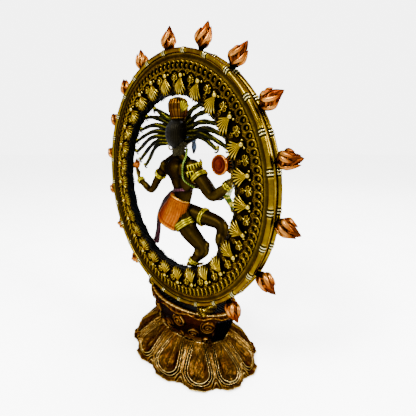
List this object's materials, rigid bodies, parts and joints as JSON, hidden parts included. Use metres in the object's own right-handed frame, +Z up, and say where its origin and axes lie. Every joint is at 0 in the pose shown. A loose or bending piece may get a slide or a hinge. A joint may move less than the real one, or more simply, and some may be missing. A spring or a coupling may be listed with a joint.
{
  "type": "nataraja statue",
  "caption": "Cast statue of a four-armed dancing figure standing inside a ring of flames on a double lotus base.",
  "frame": {"origin": "middle of the base's underside, on the surface that it stands on", "axes": "+Z up, -Y is the statue's front, -X its right hand side"},
  "size_m": [0.2374, 0.103, 0.2797],
  "materials": {
    "copper": "cold-painted copper orange over bronze, satin, dark in the hollows",
    "ring_gold": "antiqued, high points rubbed bright, dark wash in the grooves",
    "ring_bronze": "dark olive patina with bright edges",
    "lotus": "brown-black wash with pale gold highlights",
    "bowl": "red-brown with gold highlights",
    "steel": "plain zinc plated",
    "felt": "felt",
    "skin": "dark olive-brown patina, satin",
    "hair": "dark olive with yellow-green highlights",
    "orange_enamel": "matt orange cold paint",
    "purple_enamel": "matt purple cold paint",
    "green_enamel": "matt yellow-green cold paint",
    "dark_enamel": "blue-grey cold paint",
    "yellow_enamel": "bright yellow cold paint"
  },
  "bodies": {
    "root": {"agni_flame": "orange_enamel", "anklet_left": "yellow_enamel", "anklet_right": "yellow_enamel", "arm_front_left": "skin", "arm_front_right": "skin", "arm_rear_left": "skin", "arm_rear_right": "skin", "armlet_left": "yellow_enamel", "armlet_right": "yellow_enamel", "bangle_left": "yellow_enamel", "bangle_right": "yellow_enamel", "base_lower_lotus": "lotus", "base_upper_lotus": "bowl", "chain_band_back": "ring_bronze", "chain_band_front": "ring_bronze", "chest_belt": "purple_enamel", "cobra": "green_enamel", "cradle_left": "ring_bronze", "cradle_right": "ring_bronze", "crown": "orange_enamel", "crown_fan": "yellow_enamel", "damaru": "orange_enamel", "earring_left": "yellow_enamel", "earring_right": "dark_enamel", "felt_pad": "felt", "figure_body": "skin", "flame_left_01": "copper", "flame_left_02": "copper", "flame_left_03": "copper", "flame_left_04": "copper", "flame_left_05": "copper", "flame_left_06": "copper", "flame_left_07": "copper", "flame_right_01": "copper", "flame_right_02": "copper", "flame_right_03": "copper", "flame_right_04": "copper", "flame_right_05": "copper", "flame_right_06": "copper", "flame_right_07": "copper", "flame_top": "copper", "hair_left": "hair", "hair_right": "hair", "head": "skin", "leg_raised": "skin", "loincloth": "orange_enamel", "rim_back": "ring_gold", "rim_front": "ring_gold", "ring_pin": "steel", "ring_plate": "ring_bronze", "sash": "purple_enamel", "shell_band_back": "ring_gold", "shell_band_front": "ring_gold", "shoulder_fringe": "yellow_enamel", "snake_thread": "green_enamel", "thigh_band_left": "yellow_enamel", "thigh_band_right": "yellow_enamel", "tie_bolt": "steel"}
  },
  "joints": []
}
